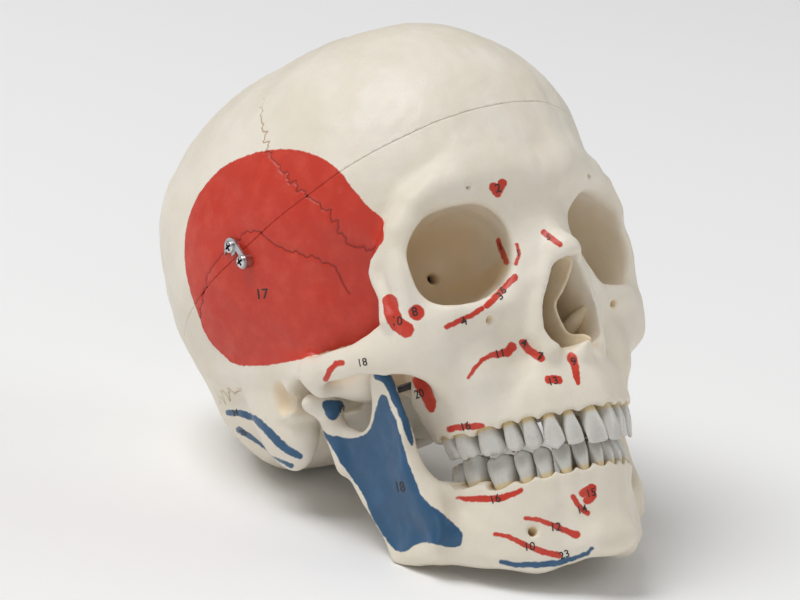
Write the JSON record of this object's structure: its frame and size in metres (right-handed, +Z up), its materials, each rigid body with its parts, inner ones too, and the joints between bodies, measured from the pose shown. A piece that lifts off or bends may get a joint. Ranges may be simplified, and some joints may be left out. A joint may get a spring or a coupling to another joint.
{
  "type": "human skull model",
  "caption": "Life-size adult skull teaching model with lift-off skullcap held by side latches, spring-hung jaw and separate teeth.",
  "frame": {"origin": "middle of the underside of the bounding box, on the table that the skull rests on", "axes": "+Z up, -Y the way the face looks, +X the skull's own left; the skull leans back and rests on the jaw angles and the back of the head"},
  "size_m": [0.1452, 0.2307, 0.1712],
  "materials": {
    "bone_plastic": "matt cast resin, ivory, with hand-painted muscle areas in red and blue",
    "tooth_plastic": "semi-gloss white resin",
    "bright_steel": "nickel-plated steel",
    "spring_steel": "dark oiled steel"
  },
  "bodies": {
    "skull_base": {"braincase_base": "bone_plastic", "facial_skeleton": "bone_plastic", "jaw_spring_left": "spring_steel", "jaw_spring_right": "spring_steel", "latch_pivot_screw_left": "bright_steel", "latch_pivot_screw_right": "bright_steel", "latch_pivot_washers_left": "bright_steel", "latch_pivot_washers_right": "bright_steel", "locating_pin_front": "bright_steel", "locating_pins_rear": "bright_steel", "nasal_conchae": "bone_plastic", "nasal_septum": "bone_plastic", "spring_screw_skull_left": "spring_steel", "spring_screw_skull_right": "spring_steel", "styloid_process_left": "bone_plastic", "styloid_process_right": "bone_plastic", "tooth_upper_left_1": "tooth_plastic", "tooth_upper_left_2": "tooth_plastic", "tooth_upper_left_3": "tooth_plastic", "tooth_upper_left_4": "tooth_plastic", "tooth_upper_left_5": "tooth_plastic", "tooth_upper_left_6": "tooth_plastic", "tooth_upper_left_7": "tooth_plastic", "tooth_upper_left_8": "tooth_plastic", "tooth_upper_right_1": "tooth_plastic", "tooth_upper_right_2": "tooth_plastic", "tooth_upper_right_3": "tooth_plastic", "tooth_upper_right_4": "tooth_plastic", "tooth_upper_right_5": "tooth_plastic", "tooth_upper_right_6": "tooth_plastic", "tooth_upper_right_7": "tooth_plastic", "tooth_upper_right_8": "tooth_plastic"},
    "skullcap": {"calvaria": "bone_plastic", "latch_catch_screw_left": "bright_steel", "latch_catch_screw_right": "bright_steel", "latch_catch_washers_left": "bright_steel", "latch_catch_washers_right": "bright_steel"},
    "jaw": {"mandible": "bone_plastic", "spring_screw_jaw_left": "spring_steel", "spring_screw_jaw_right": "spring_steel", "tooth_lower_left_1": "tooth_plastic", "tooth_lower_left_2": "tooth_plastic", "tooth_lower_left_3": "tooth_plastic", "tooth_lower_left_4": "tooth_plastic", "tooth_lower_left_5": "tooth_plastic", "tooth_lower_left_6": "tooth_plastic", "tooth_lower_left_7": "tooth_plastic", "tooth_lower_left_8": "tooth_plastic", "tooth_lower_right_1": "tooth_plastic", "tooth_lower_right_2": "tooth_plastic", "tooth_lower_right_3": "tooth_plastic", "tooth_lower_right_4": "tooth_plastic", "tooth_lower_right_5": "tooth_plastic", "tooth_lower_right_6": "tooth_plastic", "tooth_lower_right_7": "tooth_plastic", "tooth_lower_right_8": "tooth_plastic"},
    "hook_right": {"latch_hook_right": "bright_steel"},
    "hook_left": {"latch_hook_left": "bright_steel"}
  },
  "joints": [
    {"name": "jaw_open", "type": "hinge", "parent": "skull_base", "child": "jaw", "pos_m": [0, -0.0122, 0.04448], "axis": [1, 0, 0], "range_deg": [0, 25], "stiffness_Nm_per_rad": 0.15, "springref_deg": -28.65, "deforming": ["jaw_spring_right", "jaw_spring_left"]},
    {"name": "skullcap_lift", "type": "slide", "parent": "skull_base", "child": "skullcap", "axis": [0, 0.7523, 0.6588], "range_m": [0, 0.08]},
    {"name": "latch_hook_right_swing", "type": "hinge", "parent": "skull_base", "child": "hook_right", "pos_m": [-0.074, 0.0157, 0.09004], "axis": [1, 0, 0], "range_deg": [0, 100]},
    {"name": "latch_hook_left_swing", "type": "hinge", "parent": "skull_base", "child": "hook_left", "pos_m": [0.074, 0.0157, 0.09004], "axis": [1, 0, 0], "range_deg": [0, 100]}
  ]
}
